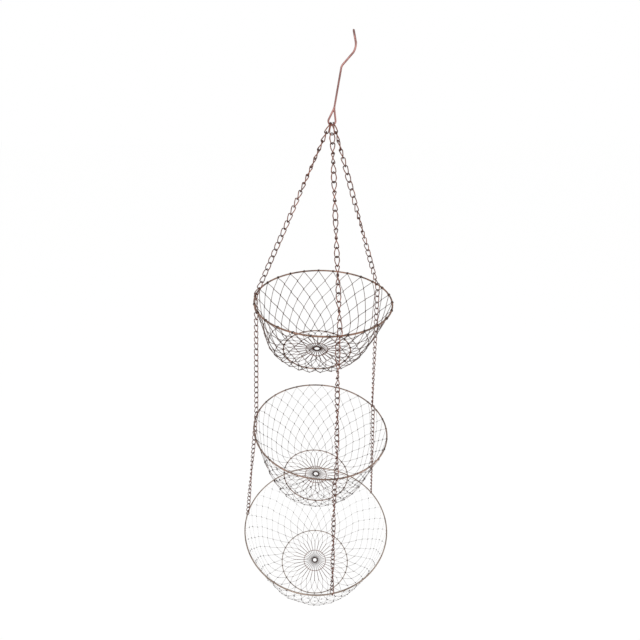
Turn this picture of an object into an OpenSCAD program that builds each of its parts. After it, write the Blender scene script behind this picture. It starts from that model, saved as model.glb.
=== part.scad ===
// Three-tier hanging fruit basket of copper wire: a long ceiling hook, three chains,
// and three graduated bowls of wire net, each bowl hung from the rim of the one above.
// Millimetres, +Z up. The origin is where the hook rests on whatever holds it up.

/* [Hook] */
// Diameter of the hook's wire
hook_wire = 2.5; // [2:0.1:3.5]
// Lean of the shank from upright, in degrees
shank_lean = 8.7; // [0:0.1:15]
// Length of the straight shank
shank_len = 43.8; // [20:0.1:60]
// Lean of the shoulder above the shank, in degrees
shoulder_lean = 43.5; // [25:0.5:60]
// Radius of the bend from the shank to the shoulder
shoulder_bend = 8; // [5:0.5:15]
// Length of the straight part of the shoulder
shoulder_len = 15.6; // [4:0.1:20]
// Radius of the bend from the shoulder up into the arch
neck_bend = 13; // [8:0.5:20]
// Lean of the wire where the arch starts, in degrees to the other side
arch_lean = 16; // [0:1:25]
// Radius of the arch that goes over the support, to the wire's centre
arch_bend = 10.5; // [8:0.5:20]
// Direction of the arch in plan, in degrees from +X
arch_turn = 75; // [60:1:90]
// Length of the free end below the arch
arch_end_len = 4; // [3:1:25]
// Radius of the eye at the foot of the shank, to the wire's centre
eye_bend = 4.6; // [4.5:0.1:6]
// Height of the eye's point above the middle of its round bottom
eye_height = 15; // [11:0.5:20]

/* [Chains] */
// Diameter of the chain's wire
link_wire = 1.5; // [1.2:0.1:1.8]
// Outer width of a link
link_w = 7.9; // [7.4:0.1:8.8]
// Length of chain that one link adds, before it is evened out over the chain
link_pitch = 11.8; // [11:0.1:14]
// Clearance where one link hangs in the next, or on a ring
link_gap = 0.3; // [0.25:0.05:0.4]
// Extra play under the links in the hook's eye, where three chains swing as one
eye_slack = 0.7; // [0.6:0.1:1]
// Extra play at the foot of a tier's right and front chains, which swing with the left one
foot_slack = 1.1; // [0.8:0.1:1.6]
// Distance between the two links on one rim, along the rim
rim_link_space = 3; // [2.8:0.1:4]
// Distance between the links that hang side by side in the hook's eye, along its wire
eye_link_space = 2.6; // [2.5:0.05:3]
// Direction of the left chains in plan, in degrees from +X
left_turn = 161.5; // [150:0.1:170]
// Direction of the right chains in plan, in degrees from +X
right_turn = 21.6; // [10:0.1:30]

/* [Tiers] */
// How far the baskets hang to the left of the eye
hang_shift = 3.5; // [0:0.1:5]
// How far the middle basket hangs to the right of the others
middle_shift = 3; // [0:0.5:5]
// How far the middle basket leans down to the right, in degrees
middle_tilt = 3; // [0:0.5:5]
// Height from the eye to the top rim
top_drop = 253; // [200:1:300]
// Height from the top rim to the middle rim
middle_drop = 263; // [230:1:300]
// Height from the middle rim to the bottom rim
bottom_drop = 278; // [240:1:320]

/* [Top basket] */
// Radius of the top rim, to the wire's centre
top_rim_r = 105; // [90:1:120]
// Radius of the top foot ring, to the wire's centre
top_foot_r = 54.5; // [40:0.5:65]
// Depth of the top bowl from rim to foot ring
top_depth = 90; // [70:1:110]
// How far the top foot ring sits to the left of the middle of its rim
top_foot_shift = 8; // [0:0.5:12]
// Number of net loops round the top bowl
top_loops = 26; // [20:1:32]
// Number of net rows down the top bowl
top_rows = 7; // [7:1:7]

/* [Middle basket] */
// Radius of the middle rim, to the wire's centre
middle_rim_r = 120.5; // [105:1:135]
// Radius of the middle foot ring, to the wire's centre
middle_foot_r = 62; // [45:0.5:70]
// Depth of the middle bowl from rim to foot ring
middle_depth = 124; // [100:1:145]
// Number of net loops round the middle bowl
middle_loops = 29; // [22:1:34]
// Number of net rows down the middle bowl
middle_rows = 9; // [9:1:9]

/* [Bottom basket] */
// Radius of the bottom rim, to the wire's centre
bottom_rim_r = 149.5; // [135:1:165]
// Radius of the bottom foot ring, to the wire's centre
bottom_foot_r = 74; // [60:0.5:85]
// Depth of the bottom bowl from rim to foot ring
bottom_depth = 131; // [105:1:150]
// Number of net loops round the bottom bowl
bottom_loops = 32; // [26:1:38]
// Number of net rows down the bottom bowl
bottom_rows = 9; // [9:1:9]

/* [Wires] */
// Diameter of the three rims
rim_wire = 2.6; // [2.4:0.1:3.4]
// Diameter of the foot rings
foot_wire = 1.8; // [1.6:0.1:2.6]
// Diameter of the net's wire
net_wire = 1.2; // [1:0.1:1.4]
// Diameter of the spokes and rings in the baskets' floors
spoke_wire = 1.2; // [1:0.1:1.6]
// Outer radius of the open eye in the middle of each floor
floor_eye_r = 6; // [4:0.5:8]
// Radius of the ring that ties the spokes, as a share of the foot ring's radius
tie_share = 0.33; // [0.25:0.01:0.5]
// How far the loops of one net row reach past those of the next
loop_overlap = 2.6; // [2:0.1:3.5]
// Clearance between wires that touch on the real basket
wire_gap = 0.3; // [0.25:0.05:0.4]

/* [Hidden] */
TOP_ROWS = [for (i = [1:top_rows]) str("top_net_row_", i)];
MIDDLE_ROWS = [for (i = [1:middle_rows]) str("middle_net_row_", i)];
BOTTOM_ROWS = [for (i = [1:bottom_rows]) str("bottom_net_row_", i)];
CHAINS = [
  "upper_chain_left", "upper_chain_right", "upper_chain_front",
  "middle_left_swivel", "middle_right_swivel", "middle_front_swivel",
  "middle_chain_left", "middle_chain_right", "middle_chain_front", "middle_end_swivel",
  "lower_left_swivel", "lower_right_swivel", "lower_front_swivel",
  "lower_chain_left", "lower_chain_right", "lower_chain_front", "lower_end_swivel"
];
RINGS = [
  "top_rim", "top_rim_links", "top_foot_ring", "top_floor_spokes", "top_floor_rings",
  "middle_rim", "middle_rim_links", "middle_foot_ring", "middle_floor_spokes", "middle_floor_rings",
  "bottom_rim", "bottom_rim_links", "bottom_foot_ring", "bottom_floor_spokes", "bottom_floor_rings"
];

hook_r = hook_wire / 2;
link_r = link_wire / 2;
rim_r = rim_wire / 2;
foot_r = foot_wire / 2;
net_r = net_wire / 2;
spoke_r = spoke_wire / 2;
crown_r = link_w / 2 - link_r;
// Straight parts of a wire are a hair thinner than its bends and reach a little way into them
slim = 0.98;
seat = 0.25;
front_turn = -90;

copper = "#a8604a";
dark_copper = "#8a4a38";
net_copper = "#94695a";

// Plan position of the arch's top above the eye's middle, and its height
lift_len = eye_height + shank_len;
arch_x = lift_len * sin(shank_lean)
  + shoulder_bend * (cos(shank_lean) - cos(shoulder_lean))
  + shoulder_len * sin(shoulder_lean)
  + neck_bend * (cos(arch_lean) - cos(shoulder_lean))
  - arch_bend * sin(arch_lean);
arch_z = lift_len * cos(shank_lean)
  + shoulder_bend * (sin(shoulder_lean) - sin(shank_lean))
  + shoulder_len * cos(shoulder_lean)
  + neck_bend * (sin(shoulder_lean) + sin(arch_lean))
  + arch_bend * cos(arch_lean)
  - hook_r;
eye_at = [-arch_x - arch_bend * cos(arch_turn), -arch_bend * sin(arch_turn), -arch_z];

// The rims: [middle of the rim, rim radius, lean]
top_rim = [eye_at - [hang_shift, 0, top_drop], top_rim_r, 0];
middle_rim = [top_rim[0] + [middle_shift, 0, -middle_drop], middle_rim_r, middle_tilt];
bottom_rim = [middle_rim[0] - [middle_shift, 0, bottom_drop], bottom_rim_r, 0];

function unit(v) = v / norm(v);
function plan(turn) = [cos(turn), sin(turn), 0];
function leaning(v, lean) = [v.x * cos(lean), v.y, -v.x * sin(lean)];
// Point of a rim's wire at a direction, moved along the rim
function rim_point(rim, turn, along) =
  rim[0] + leaning(rim[1] * plan(turn + along / rim[1] * 180 / PI), rim[2]);
// Which way round the two chains' links lie on a rim: the left ones are the other way
function rim_side(turn) = turn == left_turn ? -1 : 1;

// A round wire that starts upwards at the origin and follows its steps: [length] is a straight
// part, whose ends reach into its neighbours, and [radius, angle, direction] is a bend towards a
// direction in plan
module bent_wire(steps, r, i = 0) {
  if (i < len(steps)) {
    s = steps[i];
    if (len(s) == 1) {
      translate([0, 0, -seat]) cylinder(h = s[0] + 2 * seat, r = r * slim, $fn = 24);
      translate([0, 0, s[0]]) bent_wire(steps, r, i + 1);
    } else {
      rotate([0, 0, s[2]]) {
        translate([s[0], 0, 0]) rotate([90, 0, 180]) bend_arc(s[0], s[1], r);
        translate([s[0] * (1 - cos(s[1])), 0, s[0] * sin(s[1])])
          rotate([0, s[1], 0]) rotate([0, 0, -s[2]]) bent_wire(steps, r, i + 1);
      }
    }
  }
}

// Part of a round ring, from +X towards +Y
module bend_arc(bend, angle, r) {
  rotate_extrude(angle = angle, $fn = 72) translate([bend, 0]) circle(r, $fn = 16);
}

// The hook: a teardrop eye, a leaning shank, a shoulder and the arch over the support
module hook() {
  leg = asin(eye_bend / eye_height);
  leg_len = eye_height * cos(leg);
  color(copper) translate(eye_at) {
    rotate([0, shank_lean, 0]) {
      rotate([90, 0, 0]) rotate([0, 0, 180 - leg]) bend_arc(eye_bend, 180 + 2 * leg, hook_r);
      for (side = [-1, 1])
        rotate([0, side * (90 - leg), 0]) translate([0, 0, eye_bend])
          rotate([0, -side * 90, 0]) translate([0, 0, -seat])
            cylinder(h = leg_len + seat, r = hook_r * slim, $fn = 24);
      translate([0, 0, eye_height]) sphere(hook_r * 1.25, $fn = 32);
      translate([0, 0, eye_height]) bent_wire([
        [shank_len],
        [shoulder_bend, shoulder_lean - shank_lean, 0],
        [shoulder_len],
        [neck_bend, shoulder_lean + arch_lean, 180],
        [seat],
        [arch_bend, 180, arch_turn],
        [arch_end_len]
      ], hook_r);
    }
  }
}

// One oval link, hanging from the wire's centre at its upper end, with its flat side across Y
module link(length) {
  side_len = length - 2 * crown_r;
  translate([0, 0, -crown_r]) rotate([90, 0, 0]) bend_arc(crown_r, 180, link_r);
  translate([0, 0, crown_r - length]) rotate([-90, 0, 0]) bend_arc(crown_r, 180, link_r);
  for (side = [-1, 1])
    translate([side * crown_r, 0, crown_r - length - seat])
      cylinder(h = side_len + 2 * seat, r = link_r * slim, $fn = 16);
}

// A straight chain between two wires. a and b are the wires' centres, each with a reach from
// the wire's centre to the centre of the link that holds it; start and end are the directions
// that the outer links lie in. Each link is turned about a quarter from the one before. The
// outer links can be longer, which gives play under the first and over the last
function chain_links(a, b, reach_a, reach_b) =
  round((norm(b - a) + reach_a + reach_b - link_gap - link_wire) / link_pitch);

function chain_pitch(a, b, reach_a, reach_b) =
  (norm(b - a) + reach_a + reach_b - link_gap - link_wire) / chain_links(a, b, reach_a, reach_b);

module chain(a, b, reach_a, reach_b, start, end, first, last, head_play, foot_play) {
  down = unit(b - a);
  count = chain_links(a, b, reach_a, reach_b);
  pitch = chain_pitch(a, b, reach_a, reach_b);
  from = unit(start - (start * down) * down);
  to = unit(end - (end * down) * down);
  turn = atan2(cross(from, to) * down, from * to);
  step = (turn + 180 * round((90 * (count - 1) - turn) / 180)) / (count - 1);
  side = cross(-down, from);
  top = a - down * reach_a;
  stop = last < 0 ? count + last : last;
  multmatrix([
    [from.x, side.x, -down.x, top.x],
    [from.y, side.y, -down.y, top.y],
    [from.z, side.z, -down.z, top.z]
  ])
    for (i = [first < 0 ? count + first : first:1:stop])
      translate([0, 0, (i == count - 1 ? foot_play : 0) - i * pitch]) rotate([0, 0, -i * step])
        link(pitch + link_gap + link_wire + (i == 0 ? head_play : i == count - 1 ? foot_play : 0));
}

rim_reach = rim_r + link_r + link_gap;
eye_reach = hook_r + link_r + link_gap;

// An upper chain runs from the round bottom of the hook's eye to the top rim
module upper_chain(turn, first, last) {
  place = turn == left_turn ? -eye_link_space : turn == right_turn ? eye_link_space : 0;
  tilt = asin(place / eye_bend);
  a = eye_at + eye_bend * [sin(tilt), 0, -cos(tilt)];
  b = rim_point(top_rim, turn, rim_side(turn) * rim_link_space / 2);
  color(copper)
    chain(a, b, eye_reach, rim_reach, [0, 1, 0], plan(turn), first, last, eye_slack, 0);
}

// The three links in the hook's eye
module eye_links() {
  for (turn = [left_turn, right_turn, front_turn]) upper_chain(turn, 0, 0);
}

// A tier's chain runs from one rim to the next
module tier_chain(upper, lower, turn, first, last) {
  a = rim_point(upper, turn, -rim_side(turn) * rim_link_space / 2);
  b = rim_point(lower, turn, rim_side(turn) * rim_link_space / 2);
  play = turn == left_turn ? 0 : foot_slack;
  color(copper)
    chain(a, b, rim_reach, rim_reach, plan(turn), plan(turn), first, last, 0, play);
}

module middle_chain(turn, first, last) {
  tier_chain(top_rim, middle_rim, turn, first, last);
}

module lower_chain(turn, first, last) {
  tier_chain(middle_rim, bottom_rim, turn, first, last);
}

module top_rim_links() {
  upper_chain(left_turn, -1, -1);
  upper_chain(right_turn, -1, -1);
  upper_chain(front_turn, -1, -1);
  middle_chain(left_turn, 0, 0);
  middle_chain(right_turn, 0, 0);
  middle_chain(front_turn, 0, 0);
}

module middle_rim_links() {
  middle_chain(left_turn, -1, -1);
  middle_chain(right_turn, -1, -1);
  middle_chain(front_turn, -1, -1);
  lower_chain(left_turn, 0, 0);
  lower_chain(right_turn, 0, 0);
  lower_chain(front_turn, 0, 0);
}

module bottom_rim_links() {
  lower_chain(left_turn, -1, -1);
  lower_chain(right_turn, -1, -1);
  lower_chain(front_turn, -1, -1);
}

// Puts a piece of a basket, made round the origin, in its place on the basket's rim
module on_rim(rim) {
  translate(rim[0]) rotate([0, rim[2], 0]) children();
}

// A ring of round wire, to the wire's centre
module wire_ring(middle, bend, r, shade) {
  color(shade) translate(middle) rotate_extrude($fn = 144) translate([bend, 0]) circle(r, $fn = 20);
}

// How far inside the rim's middle the net starts, so that it hangs clear of the chains
net_inset = rim_r * 0.7;

// Outline of a bowl's wall from rim to foot ring: an easy curve of four points
function bowl_curve(rim, foot, depth) =
  [[rim - net_inset, 0], [rim * 0.83, -depth * 0.57], [rim * 0.76, -depth * 1.04], [foot, -depth]];

function on_curve(p, t) =
  pow(1 - t, 3) * p[0] + 3 * t * pow(1 - t, 2) * p[1] + 3 * t * t * (1 - t) * p[2] + pow(t, 3) * p[3];

curve_steps = 40;
function curve_table(p) = [
  for (
    i = 0, s = 0;
    i <= curve_steps;
    s = s + norm(on_curve(p, (i + 1) / curve_steps) - on_curve(p, i / curve_steps)), i = i + 1
  ) [s, i / curve_steps]
];

// Point at a length down the wall, and the wall's direction there
function wall_at(p, table, s) = let(t = lookup(s, table)) on_curve(p, t);
function wall_dir(p, table, s) = unit(wall_at(p, table, s + 1) - wall_at(p, table, s - 1));

// One row of the net: a closed zigzag of wire, of three sides, whose upper loops lie in the wall
// and whose lower loops lie a little inside it. Lower loops and chains meet at the front. The foot
// can sit to the left of the rim's middle, by a shift that grows evenly down the wall
module net_row(rim, foot, foot_shift, depth, loops, rows, row) {
  p = bowl_curve(rim, foot, depth);
  table = curve_table(p);
  loop_angle = 180 / loops;
  full = table[curve_steps][0];
  lean = full / rows / (rim * sin(loop_angle));
  spread = sqrt(1 + lean * lean);
  rim_inset = rim_r + net_r * spread + wire_gap;
  foot_inset = foot_r + net_r * spread + wire_gap;
  level_h = (full - rim_inset - foot_inset) / rows;
  shift = net_r * 2.9;
  high = rim_inset + (row - 1) * level_h - (row > 1 ? loop_overlap / 2 : 0);
  low = rim_inset + row * level_h + (row < rows ? loop_overlap / 2 : 0);
  first_turn = front_turn + (row % 2 == 0 ? 0 : loop_angle);
  d = wall_dir(p, table, (high + low) / 2);
  n = [-d.y, d.x];
  points = [
    for (i = [0:2 * loops - 1])
      let(
        s = i % 2 == 0 ? high : low,
        out = i % 2 == 1 && row < rows ? -shift : 0,
        q = wall_at(p, table, s),
        turn = first_turn + i * loop_angle
      )
      for (c = [[1, 0], [-0.5, 0.87], [-0.5, -0.87]])
        let(w = q + (out + net_r * c[0]) * n + net_r * spread * c[1] * d)
        [w.x * cos(turn) + w.y / depth * foot_shift, w.x * sin(turn), w.y]
  ];
  total = len(points);
  faces = [
    for (i = [0:3:total - 1])
      for (c = [0:2])
        let(
          a = i + c,
          b = i + (c + 1) % 3,
          e = (i + 3 + c) % total,
          f = (i + 3 + (c + 1) % 3) % total
        )
        each [[a, e, b], [b, e, f]]
  ];
  color(net_copper) polyhedron(points = points, faces = faces, convexity = 6);
}

module top_row(row) {
  on_rim(top_rim)
    net_row(top_rim_r, top_foot_r, top_foot_shift, top_depth, top_loops, top_rows, row);
}

module middle_row(row) {
  on_rim(middle_rim)
    net_row(middle_rim_r, middle_foot_r, 0, middle_depth, middle_loops, middle_rows, row);
}

module bottom_row(row) {
  on_rim(bottom_rim)
    net_row(bottom_rim_r, bottom_foot_r, 0, bottom_depth, bottom_loops, bottom_rows, row);
}

// The floor's spokes, from the foot ring in to the open eye
module floor_spokes(middle, foot, loops) {
  inner = floor_eye_r + wire_gap;
  outer = foot - foot_r - wire_gap;
  color(net_copper) translate(middle)
    for (i = [0:loops - 1])
      rotate([0, 0, (i + 0.5) * 360 / loops]) translate([inner, 0, 0]) rotate([0, 90, 0])
        cylinder(h = outer - inner, r = spoke_r, $fn = 16);
}

// The open eye in the middle of the floor, and the ring that ties the spokes from below
module floor_rings(middle, foot) {
  wire_ring(middle, floor_eye_r - spoke_r, spoke_r, dark_copper);
  wire_ring(middle - [0, 0, 2 * spoke_r + wire_gap], foot * tie_share, spoke_r, net_copper);
}

top_foot_at = [-top_foot_shift, 0, -top_depth];
middle_foot_at = [0, 0, -middle_depth];
bottom_foot_at = [0, 0, -bottom_depth];

hook();
eye_links();

upper_chain(left_turn, 1, -2);  // upper_chain_left
upper_chain(right_turn, 1, -2);  // upper_chain_right
upper_chain(front_turn, 1, -2);  // upper_chain_front

middle_chain(left_turn, 1, 1);  // middle_left_swivel
middle_chain(right_turn, 1, 1);  // middle_right_swivel
middle_chain(front_turn, 1, 1);  // middle_front_swivel
middle_chain(left_turn, 2, -3);  // middle_chain_left
middle_chain(right_turn, 2, -2);  // middle_chain_right
middle_chain(front_turn, 2, -2);  // middle_chain_front
middle_chain(left_turn, -2, -2);  // middle_end_swivel

lower_chain(left_turn, 1, 1);  // lower_left_swivel
lower_chain(right_turn, 1, 1);  // lower_right_swivel
lower_chain(front_turn, 1, 1);  // lower_front_swivel
lower_chain(left_turn, 2, -3);  // lower_chain_left
lower_chain(right_turn, 2, -2);  // lower_chain_right
lower_chain(front_turn, 2, -2);  // lower_chain_front
lower_chain(left_turn, -2, -2);  // lower_end_swivel

on_rim(top_rim) wire_ring([0, 0, 0], top_rim_r, rim_r, copper);
top_rim_links();
on_rim(top_rim) wire_ring(top_foot_at, top_foot_r, foot_r, copper);  // top_foot_ring
on_rim(top_rim) floor_spokes(top_foot_at, top_foot_r, top_loops);  // top_floor_spokes
on_rim(top_rim) floor_rings(top_foot_at, top_foot_r);  // top_floor_rings

on_rim(middle_rim) wire_ring([0, 0, 0], middle_rim_r, rim_r, copper);
middle_rim_links();
on_rim(middle_rim) wire_ring(middle_foot_at, middle_foot_r, foot_r, copper);  // middle_foot_ring
on_rim(middle_rim) floor_spokes(middle_foot_at, middle_foot_r, middle_loops);  // middle_floor_spokes
on_rim(middle_rim) floor_rings(middle_foot_at, middle_foot_r);  // middle_floor_rings

on_rim(bottom_rim) wire_ring([0, 0, 0], bottom_rim_r, rim_r, copper);
bottom_rim_links();
on_rim(bottom_rim) wire_ring(bottom_foot_at, bottom_foot_r, foot_r, copper);  // bottom_foot_ring
on_rim(bottom_rim) floor_spokes(bottom_foot_at, bottom_foot_r, bottom_loops);  // bottom_floor_spokes
on_rim(bottom_rim) floor_rings(bottom_foot_at, bottom_foot_r);  // bottom_floor_rings

for (i = [1:top_rows])
  top_row(i);
for (i = [1:middle_rows])
  middle_row(i);
for (i = [1:bottom_rows])
  bottom_row(i);
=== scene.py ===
import math

import bpy
from mathutils import Matrix, Vector, noise


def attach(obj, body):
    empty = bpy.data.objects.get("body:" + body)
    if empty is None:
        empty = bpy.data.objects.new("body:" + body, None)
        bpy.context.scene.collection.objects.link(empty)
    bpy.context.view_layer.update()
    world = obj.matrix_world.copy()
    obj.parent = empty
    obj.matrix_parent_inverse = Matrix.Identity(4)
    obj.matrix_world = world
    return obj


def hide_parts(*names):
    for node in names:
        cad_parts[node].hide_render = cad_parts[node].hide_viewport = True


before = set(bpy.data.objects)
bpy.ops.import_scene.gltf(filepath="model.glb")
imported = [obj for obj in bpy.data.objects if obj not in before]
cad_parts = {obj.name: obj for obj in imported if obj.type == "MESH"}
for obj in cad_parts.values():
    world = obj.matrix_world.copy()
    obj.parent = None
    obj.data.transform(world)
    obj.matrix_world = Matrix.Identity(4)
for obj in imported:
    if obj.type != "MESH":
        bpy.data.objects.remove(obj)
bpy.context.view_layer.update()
bpy.ops.object.select_all(action="DESELECT")

# Hook
# One length of round copper-plated steel wire, bent cold: a teardrop eye at its foot, a leaning
# shank, a shoulder and the arch that goes over a ceiling hook. The plating has gone brown and
# reddish in patches, and is rubbed lighter where hands hold it.
MM = 0.001


def linear(code):
    """An sRGB hex colour as linear red, green, blue and full alpha."""
    shares = [int(code[i:i + 2], 16) / 255 for i in (1, 3, 5)]
    return (*[c / 12.92 if c <= 0.04045 else ((c + 0.055) / 1.055) ** 2.4 for c in shares], 1)


def add(tree, kind, settings=None, **inputs):
    """One shader node: settings are its own values, inputs its sockets' values or links."""
    made = tree.nodes.new(kind)
    for name, value in (settings or {}).items():
        setattr(made, name, value)
    for name, value in inputs.items():
        socket = made.inputs[int(name[1:])] if name[1:].isdigit() else made.inputs[name.replace("_", " ")]
        if isinstance(value, bpy.types.NodeSocket):
            tree.links.new(value, socket)
        else:
            socket.default_value = value
    return made


def copper_wire(name, bright, brown, black, blotch, rough, metallic):
    """Wire that was drawn through a die and plated with copper: long-gone shine, with brown tarnish in
    blotches of a size in millimetres, and near-black painted shade where wires rub and cross."""
    made = bpy.data.materials.new(name)
    made.use_nodes = True
    tree = made.node_tree
    shader = tree.nodes["Principled BSDF"]
    where = add(tree, "ShaderNodeTexCoord").outputs["Object"]
    patches = add(tree, "ShaderNodeTexNoise", Vector=where, Scale=1000 / blotch, Detail=3.0)
    pits = add(tree, "ShaderNodeTexNoise", Vector=where, Scale=1000 / (blotch * 0.12), Detail=2.0)
    share = add(tree, "ShaderNodeMapRange", Value=patches.outputs["Fac"], From_Min=0.35, From_Max=0.65)
    aged = add(tree, "ShaderNodeMix", {"data_type": "RGBA"}, Factor=share.outputs["Result"],
               _6=linear(bright), _7=linear(brown))
    # Painted shade, and an even darker tone on net and floor wires: a point attribute mixes the colour
    # towards near black
    dark = add(tree, "ShaderNodeAttribute", {"attribute_name": "painted_shade_and_tone"})
    spots = add(tree, "ShaderNodeMapRange", Value=pits.outputs["Fac"], From_Min=0.3, From_Max=0.75,
                To_Min=0.75, To_Max=1.15)
    depth = add(tree, "ShaderNodeMath", {"operation": "MULTIPLY"}, _0=dark.outputs["Fac"],
                _1=spots.outputs["Result"])
    colour = add(tree, "ShaderNodeMix", {"data_type": "RGBA"}, Factor=depth.outputs["Value"],
                 _6=aged.outputs[2], _7=linear(black))
    shine = add(tree, "ShaderNodeMapRange", Value=pits.outputs["Fac"], From_Min=0.3, From_Max=0.7,
                To_Min=rough - 0.08, To_Max=rough + 0.12)
    scars = add(tree, "ShaderNodeBump", Height=pits.outputs["Fac"], Strength=0.25, Distance=0.1 * MM)
    tree.links.new(colour.outputs[2], shader.inputs["Base Color"])
    tree.links.new(shine.outputs["Result"], shader.inputs["Roughness"])
    tree.links.new(scars.outputs["Normal"], shader.inputs["Normal"])
    shader.inputs["Metallic"].default_value = metallic
    return made


# Copper-plated steel wire, 2.5 mm: satin, reddish, with the brown of old plating
hook_copper = copper_wire("copper_plated_wire_worn", "#ad7f79", "#85605c", "#3a201e", 14, 0.36, 0.8)


def finish_node(name, material):
    """Gives one of the solids its material."""
    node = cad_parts[name]
    node.data.materials.clear()
    node.data.materials.append(material)


finish_node("hook", hook_copper)

# Chains
# Curb chain of 1.5 mm copper-plated wire: each oval link is twisted about a quarter turn, so that
# the links of a straight chain lie nearly flat, and the whole chain turns slowly on its way down.
# The links are closed with a butt joint; where they sit in each other their crowns carry near-black
# painted shade.
LINK_R = 0.75 * MM
CROWN = 3.95 * MM - LINK_R
LINK_GAP = 0.3 * MM
EYE = Vector((-24.6274, -10.1422, -95.1112)) * MM
EYE_BEND = 4.6 * MM
EYE_LINK_SPACE = 2.6 * MM
RIM_LINK_SPACE = 3 * MM
EYE_SLACK = 0.7 * MM
FOOT_SLACK = 1.1 * MM
LINK_PITCH = 11.8 * MM
DARKEST = 0.62
HOOK_R = 1.25 * MM
RIM_R = 1.3 * MM
TURNS = {"left": math.radians(161.5), "right": math.radians(21.6), "front": math.radians(-90)}
RIMS = {
    "top": (Vector((-28.1274, -10.1422, -348.111)) * MM, 105 * MM, 0),
    "middle": (Vector((-25.1274, -10.1422, -611.111)) * MM, 120.5 * MM, math.radians(3)),
    "bottom": (Vector((-28.1274, -10.1422, -889.111)) * MM, 149.5 * MM, 0),
}

# Copper-plated steel chain: satin sides, gone brown, with painted shade darkening the crowns where the
# links meet
chain_copper = copper_wire("copper_plated_chain", "#98624f", "#67433a", "#1e0f0c", 9, 0.36, 0.65)


def plan(turn):
    """The level direction at that turn, seen from above."""
    return Vector((math.cos(turn), math.sin(turn), 0))


def rim_point(rim, side, along):
    """Where a chain's link hangs on a rim: the left chain's two links lie the other way round."""
    middle, radius, lean = RIMS[rim]
    turn = TURNS[side] + (-along if side == "left" else along) / radius
    return middle + Matrix.Rotation(lean, 3, "Y") @ (radius * plan(turn))


def mark(piece, shade):
    """Writes how black each point of the piece is, from a function of its place."""
    darkness = piece.data.attributes.new("painted_shade_and_tone", "FLOAT", "POINT")
    darkness.data.foreach_set("value", [shade(v.co) for v in piece.data.vertices])


def curb_link(length, twist):
    """An oval link that hangs from the origin, its lower crown turned by twist from its upper."""
    bpy.ops.object.select_all(action="DESELECT")
    bpy.ops.mesh.primitive_torus_add(major_segments=16, minor_segments=6, major_radius=CROWN,
                                     minor_radius=LINK_R, rotation=(math.pi / 2, 0, 0))
    link = bpy.context.object
    bpy.ops.object.transform_apply(location=False, rotation=True, scale=False)
    half = length / 2 - CROWN
    for way in (1, -1):
        for v in link.data.vertices:
            v.select = v.co.z * way > LINK_R * 0.01
        for e in link.data.edges:
            e.select = all(link.data.vertices[i].select for i in e.vertices)
        for f in link.data.polygons:
            f.select = all(link.data.vertices[i].select for i in f.vertices)
        bpy.ops.object.mode_set(mode="EDIT")
        bpy.ops.transform.translate(value=(0, 0, way * half))
        bpy.ops.object.mode_set(mode="OBJECT")
    bpy.ops.object.mode_set(mode="EDIT")
    for height in (-half / 2, half / 2):
        bpy.ops.mesh.select_all(action="SELECT")
        bpy.ops.mesh.bisect(plane_co=(0, 0, height), plane_no=(0, 0, 1))
    bpy.ops.object.mode_set(mode="OBJECT")
    bpy.ops.object.modifier_add(type="SIMPLE_DEFORM")
    bend = link.modifiers[-1]
    bend.deform_method = "TWIST"
    bend.deform_axis = "Z"
    bend.angle = -twist
    bpy.ops.object.modifier_apply(modifier=bend.name)
    # Painted shade: the crowns, where the links sit in each other, darken towards near black
    mark(link, lambda co: max(0, min(DARKEST, (abs(co.z) - half * 1.15) / (CROWN * 0.7))))
    link.data.transform(Matrix.Rotation(twist / 2, 4, "Z") @ Matrix.Translation((0, 0, -length / 2)))
    bpy.ops.object.shade_smooth()
    return link


def joined(parts, name):
    """The parts as one object at the origin, with that name."""
    bpy.ops.object.select_all(action="DESELECT")
    for part in parts:
        part.select_set(True)
    bpy.context.view_layer.objects.active = parts[0]
    bpy.ops.object.join()
    bpy.ops.object.transform_apply(location=True, rotation=True, scale=True)
    whole = bpy.context.object
    whole.name = whole.data.name = name
    bpy.ops.object.select_all(action="DESELECT")
    return whole


def hang_chain(a, b, reach_a, reach_b, start, end, half_turns, head_play, foot_play):
    """All the links between two wires, first to last, each an object of its own. With no half
    turns each link is twisted by a little less than a quarter turn."""
    down = (b - a).normalized()
    span = (b - a).length + reach_a + reach_b - LINK_GAP - 2 * LINK_R
    count = round(span / LINK_PITCH)
    pitch = span / count
    first = (start - start.dot(down) * down).normalized()
    last = (end - end.dot(down) * down).normalized()
    turn = math.atan2(first.cross(last).dot(down), first.dot(last))
    twist = (turn + math.pi * half_turns + math.pi / 2 * (count - 1)) / count
    side = (-down).cross(first)
    top = a - down * reach_a
    axes = Matrix((first, side, -down)).transposed().to_4x4()
    links = []
    for i in range(count):
        play = head_play if i == 0 else foot_play if i == count - 1 else 0
        raised = foot_play if i == count - 1 else 0
        link = curb_link(pitch + LINK_GAP + 2 * LINK_R + play, -twist)
        at = Matrix.Translation(top + down * (i * pitch - raised))
        link.matrix_world = at @ axes @ Matrix.Rotation(-i * (twist + math.pi / 2), 4, "Z")
        links.append(link)
    return links


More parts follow.
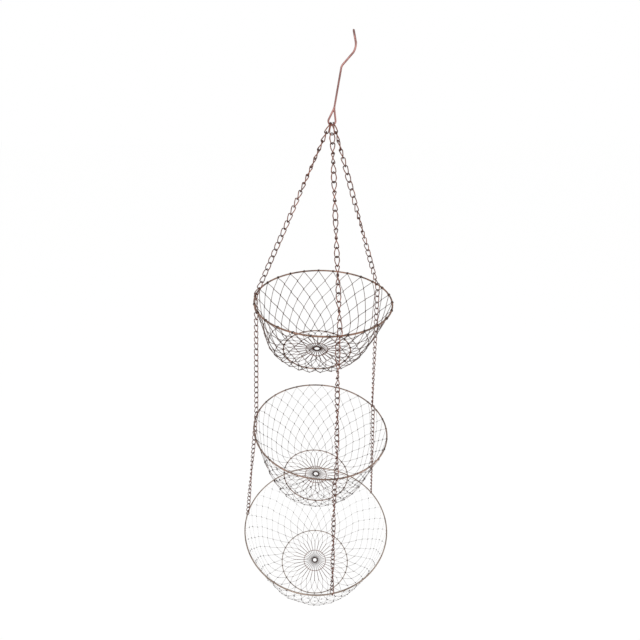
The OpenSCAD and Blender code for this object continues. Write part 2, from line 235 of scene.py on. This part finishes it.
RIM_REACH = RIM_R + LINK_R + LINK_GAP
EYE_REACH = HOOK_R + LINK_R + LINK_GAP
PLACES = {"left": -EYE_LINK_SPACE, "right": EYE_LINK_SPACE, "front": 0}
links = {}
for side, half_turns in (("left", 0), ("right", -2), ("front", 5)):
    tilt = math.asin(PLACES[side] / EYE_BEND)
    from_eye = EYE + EYE_BEND * Vector((math.sin(tilt), 0, -math.cos(tilt)))
    to_rim = rim_point("top", side, RIM_LINK_SPACE / 2)
    links["upper", side] = hang_chain(from_eye, to_rim, EYE_REACH, RIM_REACH, Vector((0, 1, 0)),
                                      plan(TURNS[side]), half_turns, EYE_SLACK, 0)
for tier, upper, lower, left_turns in (("middle", "top", "middle", 0), ("lower", "middle", "bottom", -1)):
    for side, half_turns in (("left", left_turns), ("right", 1), ("front", 4)):
        across = plan(TURNS[side])
        links[tier, side] = hang_chain(rim_point(upper, side, -RIM_LINK_SPACE / 2),
                                       rim_point(lower, side, RIM_LINK_SPACE / 2),
                                       RIM_REACH, RIM_REACH, across, across, half_turns, 0,
                                       0 if side == "left" else FOOT_SLACK)


def chain_piece(node, body, parts):
    """The links as one piece in place of the node, riding the body."""
    piece = joined(parts, node.replace("chain", "curb_chain").replace("links", "curb_links")
                   .replace("swivel", "curb_swivel"))
    piece.data.materials.clear()
    piece.data.materials.append(chain_copper)
    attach(piece, body)
    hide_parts(node)


chain_piece("eye_links", "eye_links", [links["upper", s][0] for s in TURNS])
for side in TURNS:
    chain_piece(f"upper_chain_{side}", "top_tier", links["upper", side][1:-1])
chain_piece("top_rim_links", "top_tier",
            [links["upper", s][-1] for s in TURNS] + [links["middle", s][0] for s in TURNS])
chain_piece("middle_rim_links", "middle_tier",
            [links["middle", s][-1] for s in TURNS] + [links["lower", s][0] for s in TURNS])
chain_piece("bottom_rim_links", "bottom_tier", [links["lower", s][-1] for s in TURNS])
for tier in ("middle", "lower"):
    for side in TURNS:
        chain_piece(f"{tier}_{side}_swivel", f"{tier}_{side}_swivel", [links[tier, side][1]])
    chain_piece(f"{tier}_chain_left", f"{tier}_chain_left", links[tier, "left"][2:-2])
    chain_piece(f"{tier}_end_swivel", f"{tier}_end_swivel", [links[tier, "left"][-2]])
    chain_piece(f"{tier}_chain_right", f"{tier}_chain_right", links[tier, "right"][2:-1])
    chain_piece(f"{tier}_chain_front", f"{tier}_chain_front", links[tier, "front"][2:-1])

# Rims and foot rings
# Each bowl hangs from a rim of 2.6 mm wire and has a foot ring of 1.8 mm wire. Both are rolled
# round, brazed shut and copper plated; the wraps of the net keep their hidden side dark.
# The plating has lost its colour on the lower bowls, which look greyer.
RIM_COLOURS = {"top": ("#9c7866", "#665247"), "middle": ("#a1877a", "#6f5e55"),
               "bottom": ("#ab9a8e", "#857468")}
BODIES = {"top": "top_tier", "middle": "middle_tier", "bottom": "bottom_tier"}
for tier, (bright, brown) in RIM_COLOURS.items():
    rim_copper = copper_wire(f"copper_plated_{tier}_rim", bright, brown, "#2c201d", 22, 0.38, 0.7)
    finish_node(f"{tier}_rim", rim_copper)
    finish_node(f"{tier}_foot_ring", rim_copper)

# Net walls
# Each wall is knotted by hand from fine copper wire, one round after another: every round
# zigzags between two rows of knots, and each knot is a short tight twist of wire that lies along
# the wall. The first round is wrapped on the rim and the last one on the foot ring.
KNOT_HALF = 1.5 * MM
KNOT_WIRE = 0.3 * MM
FOOT_R = 0.9 * MM
NET_INSET = 0.3 * MM
STRAY = 2.2 * MM
STRAY_STEP = 28
HELD_NEAR_WIRE = 12 * MM
CURVE_STEPS = 80
NET_SEED = 1
# How far each leg of a round follows the wall's curve, from straight at 0 to the wall at 1
BULGE = 0.6
BOWLS = {
    "top": {"foot": 54.5 * MM, "shift": 8 * MM, "depth": 90 * MM, "loops": 26, "rows": 7,
            "wire": (0.5 * MM, 0.48 * MM), "knot": 0.95 * MM, "floor_wire": 0.36 * MM},
    "middle": {"foot": 62 * MM, "shift": 0, "depth": 124 * MM, "loops": 29, "rows": 9,
               "wire": (0.25 * MM, 0.3 * MM), "knot": 1 * MM, "floor_wire": 0.28 * MM},
    "bottom": {"foot": 74 * MM, "shift": 0, "depth": 131 * MM, "loops": 32, "rows": 9,
               "wire": (0.1 * MM, 0.3 * MM), "knot": 0.9 * MM, "floor_wire": 0.28 * MM},
}
# Fine soft copper wire: dull, dark brown, with near-black painted shade in the knots
net_copper = copper_wire("copper_net_wire", "#866f66", "#5f4e48", "#241917", 16, 0.45, 0.6)


def wire(points, radius, sides=1):
    """A round wire along the points, closed at both ends, as a mesh."""
    bpy.ops.object.select_all(action="DESELECT")
    bpy.ops.curve.primitive_nurbs_path_add(location=(0, 0, 0))
    line = bpy.context.object
    line.data.splines.clear()
    spline = line.data.splines.new("POLY")
    spline.points.add(len(points) - 1)
    for knot, point in zip(spline.points, points):
        knot.co = (*point, 1)
    line.data.bevel_depth = radius
    line.data.bevel_resolution = sides
    line.data.use_fill_caps = True
    bpy.ops.object.convert(target="MESH")
    line = bpy.context.object
    bpy.ops.object.shade_smooth()
    return line


def coil(centre, along, out, reach, radius, turns, gauge):
    """A tight twist of wire round a line, from one end of its reach to the other."""
    steps = round(turns * 8)
    across = along.cross(out).normalized()
    points = []
    for i in range(steps + 1):
        turn = 2 * math.pi * turns * i / steps
        ring = math.cos(turn) * out + math.sin(turn) * across
        points.append(centre + along * reach * (2 * i / steps - 1) + radius * ring)
    return wire(points, gauge, 0)


def round_bowl(piece, count):
    """Copies the piece round the bowl's axis, which is the Z axis while it is modelled."""
    bpy.ops.object.select_all(action="DESELECT")
    bpy.ops.object.empty_add(location=(0, 0, 0), rotation=(0, 0, 2 * math.pi / count))
    step = bpy.context.object
    step.select_set(False)
    piece.select_set(True)
    bpy.context.view_layer.objects.active = piece
    bpy.ops.object.modifier_add(type="ARRAY")
    copies = piece.modifiers[-1]
    copies.use_relative_offset = False
    copies.use_object_offset = True
    copies.offset_object = step
    copies.count = count
    bpy.ops.object.modifier_apply(modifier=copies.name)
    bpy.data.objects.remove(step)


def wall_curve(bowl, rim):
    """The wall from rim to foot ring as even steps: (length down the wall, radius, height)."""
    p = [(rim - NET_INSET, 0), (rim * 0.83, -bowl["depth"] * 0.57),
         (rim * 0.76, -bowl["depth"] * 1.04), (bowl["foot"], -bowl["depth"])]
    table, gone = [], 0
    for i in range(CURVE_STEPS + 1):
        t = i / CURVE_STEPS
        here = tuple((1 - t) ** 3 * p[0][k] + 3 * t * (1 - t) ** 2 * p[1][k]
                     + 3 * t * t * (1 - t) * p[2][k] + t ** 3 * p[3][k] for k in (0, 1))
        if table:
            gone += math.dist(here, table[-1][1:])
        table.append((gone, *here))
    return table


def on_wall(table, s):
    """Radius and height at a length down the wall, and the wall's direction there."""
    for low, high in zip(table, table[1:]):
        if s <= high[0] or high is table[-1]:
            step = high[0] - low[0]
            t = (s - low[0]) / step
            r, z = (low[k] + (high[k] - low[k]) * t for k in (1, 2))
            return r, z, (high[1] - low[1]) / step, (high[2] - low[2]) / step


def wall_point(table, s, turn, out=0.0):
    """The place at a length down the wall, turned round the bowl, and out from the wall."""
    r, z, dr, dz = on_wall(table, s)
    return Vector(((r - dz * out) * math.cos(turn), (r - dz * out) * math.sin(turn), z + dr * out))


def wall_frame(table, s, turn):
    """Direction down the wall and direction out of it."""
    _, _, dr, dz = on_wall(table, s)
    return (Vector((dr * math.cos(turn), dr * math.sin(turn), dz)),
            Vector((-dz * math.cos(turn), -dz * math.sin(turn), dr)))


def uneven(piece, depth, seed):
    """Hand work is never even: the net strays a little between rim and foot."""
    for v in piece.data.vertices:
        hold = max(0, min(1, -v.co.z / HELD_NEAR_WIRE, (v.co.z + depth) / HELD_NEAR_WIRE))
        drift = noise.noise_vector(v.co * STRAY_STEP + Vector((seed, 0, 0)))
        v.co += drift * STRAY * hold


def settle(piece, name, tier):
    """Moves a finished piece from the bowl's own axis to its place, and names it. The top bowl's
    foot sits a little to the left of its rim, and the middle bowl leans to the right."""
    middle, _, lean = RIMS[tier]
    for v in piece.data.vertices:
        v.co.x += v.co.z / BOWLS[tier]["depth"] * BOWLS[tier]["shift"]
    piece.data.transform(Matrix.Translation(middle) @ Matrix.Rotation(lean, 4, "Y"))
    piece.name = piece.data.name = name
    piece.data.materials.clear()


# The net strays in the same way at every run
noise.seed_set(NET_SEED)
for seed, (tier, bowl) in enumerate(BOWLS.items()):
    rim = RIMS[tier][1]
    table = wall_curve(bowl, rim)
    full = table[-1][0]
    rows, loops = bowl["rows"], bowl["loops"]
    half_cell = math.pi / loops
    for row in range(1, rows + 1):
        at_rim, at_foot = bowl["wire"]
        net_r = at_rim + (at_foot - at_rim) * ((row - 1) / (rows - 1)) ** 3
        high = full * (row - 1) / rows
        low = full * row / rows
        upper_turn = math.radians(-90) + (0 if row % 2 == 0 else half_cell)
        lower_turn = upper_turn + half_cell
        lead_up, lead_low = (net_r * 1.2 / on_wall(table, s)[0] for s in (high, low))
        start = high - KNOT_HALF if row > 1 else 0
        stop = low + KNOT_HALF if row < rows else full
        level = [(start, 0, 0.3), (high + KNOT_HALF * 0.8, lead_up, 0.3)]
        level += [(low - KNOT_HALF * 0.8, half_cell - lead_low, -0.3), (stop, half_cell, -0.3)]
        leg = [wall_point(table, s, upper_turn + turn, out * MM) for s, turn, out in level]
        leg_middle = wall_point(table, (high + low) / 2, upper_turn + half_cell / 2)
        leg.insert(2, (leg[1] + leg[2]) / 2 * (1 - BULGE) + leg_middle * BULGE)
        back_middle = wall_point(table, (high + low) / 2, upper_turn + half_cell * 1.5)
        back = [wall_point(table, s, upper_turn + 2 * half_cell - turn, out * MM)
                for s, turn, out in reversed(level)]
        back.insert(2, (back[1] + back[2]) / 2 * (1 - BULGE) + back_middle * BULGE)
        parts = [wire(leg + back[1:], net_r)]
        mark(parts[0], lambda co: 0.25)
        down, out = wall_frame(table, low, lower_turn)
        if row < rows:
            parts.append(coil(wall_point(table, low, lower_turn), down, out, KNOT_HALF,
                              bowl["knot"] - KNOT_WIRE, 2, KNOT_WIRE))
        else:
            tangent = plan(lower_turn + math.pi / 2)
            parts.append(coil(wall_point(table, full, lower_turn), tangent, out, 1.1 * MM,
                              FOOT_R + net_r, 2, net_r))
        # Painted shade on the knots and on the wraps round the foot ring
        mark(parts[1], lambda co: 0.9)
        if row == 1:
            tangent = plan(upper_turn + math.pi / 2)
            parts.append(coil(rim * plan(upper_turn), tangent, Vector((0, 0, 1)), 1.2 * MM,
                              RIM_R + net_r, 2, net_r))
            # Painted shade on the wraps round the rim
            mark(parts[2], lambda co: 0.7)
        piece = joined(parts, "net")
        round_bowl(piece, loops)
        uneven(piece, bowl["depth"], seed * 7.3)
        settle(piece, f"{tier}_net_round_{row}", tier)
        piece.data.materials.append(net_copper)
        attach(piece, BODIES[tier])
        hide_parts(f"{tier}_net_row_{row}")

# Floors
# The floor carries the net on inside the foot ring: one more row of knots, then pairs of wires
# that close into straight twisted spokes. A thin ring ties the spokes, and they all end in a clump
# of wraps on a small open eye, darkened towards the middle with painted shade.
EYE_RING = 5.4 * MM
SPOKE_R = 0.6 * MM
# The same soft copper wire, its colour a little redder and lighter all over with a painted sheen of the
# twisted pairs that shine together
floor_copper = copper_wire("copper_floor_wire", "#957468", "#6a4d45", "#2a1917", 12, 0.42, 0.7)
# Copper-plated ring wire of the eye and the tie, browned by handling
eye_copper = copper_wire("copper_floor_eye", "#a07a6c", "#6e4a40", "#3a2420", 6, 0.36, 0.8)


def floor_point(radius, turn, height=0.0):
    """The place on the floor at a radius, turned round the bowl, and up from the floor."""
    return Vector((radius * math.cos(turn), radius * math.sin(turn), height))


for tier, bowl in BOWLS.items():
    foot, loops, net_r = bowl["foot"], bowl["loops"], bowl["floor_wire"]
    half_cell = math.pi / loops
    knots, forks = foot * 0.84, foot * 0.62
    ring_turn = math.radians(-90) + (0 if bowl["rows"] % 2 == 0 else half_cell) + half_cell
    knot_turn, fork_turn = ring_turn + half_cell, ring_turn
    gap = net_r * 1.2
    first = []
    for turn, way in ((ring_turn, 1), (ring_turn + 2 * half_cell, -1)):
        round_part = [
            floor_point(foot - FOOT_R * 0.6, turn, 0.2 * MM),
            floor_point(knots + 1.2 * MM, knot_turn - way * gap / knots, 0.2 * MM),
            floor_point(knots - 1.0 * MM, knot_turn, 0.3 * MM),
        ]
        first += round_part if way == 1 else round_part[-2::-1]
    parts = [wire(first, net_r)]
    mark(parts[0], lambda co: 0.2)
    fork = [
        floor_point(knots + 1.0 * MM, knot_turn - 2 * half_cell, -0.3 * MM),
        floor_point(knots - 1.2 * MM, knot_turn - 2 * half_cell + gap / knots, -0.2 * MM),
        floor_point(forks, fork_turn - gap / forks, 0),
        floor_point(foot * 0.3, fork_turn - gap * 0.7 / (foot * 0.3), 0),
        floor_point(EYE_RING + 0.5 * MM, fork_turn - 0.25 * MM / EYE_RING, 0.2 * MM),
    ]
    mirrored = [floor_point(p.xy.length, 2 * fork_turn - math.atan2(p.y, p.x), p.z) for p in fork]
    for strand in (fork, mirrored):
        parts.append(wire(strand, net_r))
        # Painted shade: darker towards the eye, where the wires bunch
        mark(parts[-1], lambda co: 0.2 + 0.7 * max(0, min(1, (16 * MM - co.xy.length) / (8 * MM))))
    # Painted shade on the knots, the twists of the spokes and the wraps on the eye
    inward = -plan(knot_turn)
    parts.append(coil(floor_point(knots, knot_turn), inward, Vector((0, 0, 1)), 1.3 * MM,
                      net_r * 1.7, 2, net_r * 1.1))
    mark(parts[-1], lambda co: 0.9)
    spoke = -plan(fork_turn)
    parts.append(coil(floor_point(forks * 0.9, fork_turn), spoke, Vector((0, 0, 1)),
                      forks * 0.14, net_r * 1.6, 5, net_r))
    mark(parts[-1], lambda co: 0.6)
    along_eye = plan(fork_turn + math.pi / 2)
    parts.append(coil(floor_point(EYE_RING, fork_turn), along_eye, Vector((0, 0, 1)),
                      0.45 * MM, SPOKE_R + 0.45 * MM, 1, 0.4 * MM))
    mark(parts[-1], lambda co: 0.75)
    piece = joined(parts, "floor")
    round_bowl(piece, loops)
    for v in piece.data.vertices:
        v.co.z -= bowl["depth"]
    settle(piece, f"{tier}_floor_wires", tier)
    piece.data.materials.append(floor_copper)
    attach(piece, BODIES[tier])
    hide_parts(f"{tier}_floor_spokes")
    finish_node(f"{tier}_floor_rings", eye_copper)

# Studio
# A white floor well below the hanging basket, soft light from all round with a little more from
# the upper left, and a white background for the camera and for what metal shows.
FLOOR_LEVEL = -1.35
GLOW_SHARE = 0.94
GLOW_STRENGTH = 1.02
WORLD_LIGHT = 0.7
WORLD_SEEN = 1.0
LAMPS = (("key", (-1.2, -1.5, 0.9), 1.2, 26), ("fill", (1.6, -0.8, -0.2), 1.4, 9))
LAMPS_AIM = (-0.02, -0.01, -0.5)
bpy.ops.mesh.primitive_plane_add(size=14, location=(0, 0, FLOOR_LEVEL))
floor = bpy.context.object
floor.name = "studio_floor"
# White paper-like studio ground: matt, bright enough to merge with the background
floor_paint = bpy.data.materials.new("white_studio_floor")
floor_paint.use_nodes = True
tree = floor_paint.node_tree
shader = tree.nodes["Principled BSDF"]
shader.inputs["Base Color"].default_value = linear("#f4f4f2")
shader.inputs["Roughness"].default_value = 0.9
path = add(tree, "ShaderNodeLightPath")
seen = add(tree, "ShaderNodeMath", {"operation": "MAXIMUM"}, _0=path.outputs["Is Camera Ray"],
           _1=path.outputs["Is Glossy Ray"])
share = add(tree, "ShaderNodeMath", {"operation": "MULTIPLY"}, _0=seen.outputs["Value"], _1=GLOW_SHARE)
glow = add(tree, "ShaderNodeEmission", Color=(1, 1, 1, 1), Strength=GLOW_STRENGTH)
both = add(tree, "ShaderNodeMixShader", _0=share.outputs["Value"], _1=shader.outputs["BSDF"],
           _2=glow.outputs["Emission"])
tree.links.new(both.outputs["Shader"], tree.nodes["Material Output"].inputs["Surface"])
floor.data.materials.append(floor_paint)

world = bpy.data.worlds.new("soft_studio")
bpy.context.scene.world = world
world.use_nodes = True
tree = world.node_tree
path = add(tree, "ShaderNodeLightPath")
seen = add(tree, "ShaderNodeMath", {"operation": "MAXIMUM"}, _0=path.outputs["Is Camera Ray"],
           _1=path.outputs["Is Transmission Ray"])
level = add(tree, "ShaderNodeMapRange", Value=seen.outputs["Value"], To_Min=WORLD_LIGHT, To_Max=WORLD_SEEN)
tree.nodes["Background"].inputs["Color"].default_value = (1, 1, 1, 1)
tree.links.new(level.outputs["Result"], tree.nodes["Background"].inputs["Strength"])

for name, place, size, power in LAMPS:
    bpy.ops.object.light_add(type="AREA", location=place)
    lamp = bpy.context.object
    lamp.name = lamp.data.name = name
    lamp.data.size = size
    lamp.data.energy = power
    aim = Vector(LAMPS_AIM) - Vector(place)
    lamp.rotation_euler = aim.to_track_quat("-Z", "Y").to_euler()

# Camera
# The photograph was taken from in front of the top bowl and a little above it, with the camera
# pitched down and rolled a little, so that the lower bowls show their floors.
PITCH, ROLL, HEADING = math.radians(30.8), math.radians(1.69), math.radians(12)
FROM_TOP_RIM = Vector((-133.8, -609.2, 335)) * MM
level_share = math.cos(PITCH)
ahead = Vector((math.sin(HEADING) * level_share, math.cos(HEADING) * level_share, -math.sin(PITCH)))
right = Vector((math.cos(HEADING), -math.sin(HEADING), 0))
up = right.cross(ahead)
right, up = (math.cos(ROLL) * right + math.sin(ROLL) * up,
             math.cos(ROLL) * up - math.sin(ROLL) * right)
bpy.ops.object.camera_add(location=RIMS["top"][0] + FROM_TOP_RIM)
camera = bpy.context.object
camera.data.sensor_width = 36
camera.data.lens = 26.0
camera.data.clip_start = 0.01
camera.rotation_euler = Matrix((right, up, -ahead)).transposed().to_euler()
bpy.context.scene.camera = camera
bpy.context.scene.view_settings.view_transform = "Standard"
